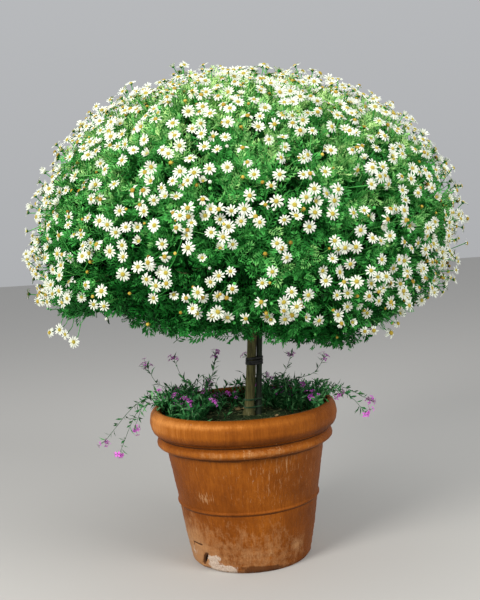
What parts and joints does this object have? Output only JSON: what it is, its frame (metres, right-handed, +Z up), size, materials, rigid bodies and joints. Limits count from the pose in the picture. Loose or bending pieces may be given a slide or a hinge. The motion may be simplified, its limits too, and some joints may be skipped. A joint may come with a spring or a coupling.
{
  "type": "potted standard marguerite daisy",
  "caption": "Flowering shrub trained as a round crown on one bare trunk, in a wide round clay pot with a rolled rim, for standing on a terrace.",
  "frame": {"origin": "centre of the pot's flat foot, on the ground", "axes": "+Z up the pot's axis; the picture's view is along +Y, with +X to its right"},
  "size_m": [1.1026, 1.0919, 1.247],
  "materials": {
    "terracotta": "matte",
    "soil": "matte",
    "bark": "matte",
    "stake_wood": "matte",
    "tape": "satin",
    "string": "matte",
    "leaf": "satin",
    "petal": "matte",
    "edge_leaf": "satin",
    "edge_flower": "matte"
  },
  "bodies": {
    "root": {"pot": "terracotta", "soil": "soil", "trunk": "bark", "stake": "stake_wood", "tie_tape": "tape", "tie_string_1": "string", "tie_string_2": "string", "bough_1": "leaf", "bough_2": "leaf", "bough_3": "leaf", "bough_4": "leaf", "bough_5": "leaf", "bough_6": "leaf", "bough_7": "leaf", "bough_top": "leaf", "spray_01": "petal", "spray_02": "petal", "spray_03": "petal", "spray_04": "petal", "spray_05": "petal", "spray_06": "petal", "spray_07": "petal", "spray_08": "petal", "spray_09": "petal", "spray_10": "petal", "spray_11": "petal", "spray_12": "petal", "spray_13": "petal", "spray_14": "petal", "spray_15": "petal", "spray_16": "petal", "spray_17": "petal", "spray_18": "petal", "spray_19": "petal", "spray_20": "petal", "spray_21": "petal", "spray_22": "petal", "spray_23": "petal", "spray_24": "petal", "spray_25": "petal", "spray_26": "petal", "spray_27": "petal", "spray_28": "petal", "spray_29": "petal", "spray_30": "petal", "edge_plant_1": "edge_leaf", "edge_plant_2": "edge_leaf", "edge_plant_3": "edge_leaf", "edge_plant_4": "edge_leaf", "edge_plant_5": "edge_leaf", "edge_flowers_1": "edge_flower", "edge_flowers_2": "edge_flower", "edge_flowers_3": "edge_flower", "edge_flowers_4": "edge_flower", "edge_flowers_5": "edge_flower"}
  },
  "joints": []
}
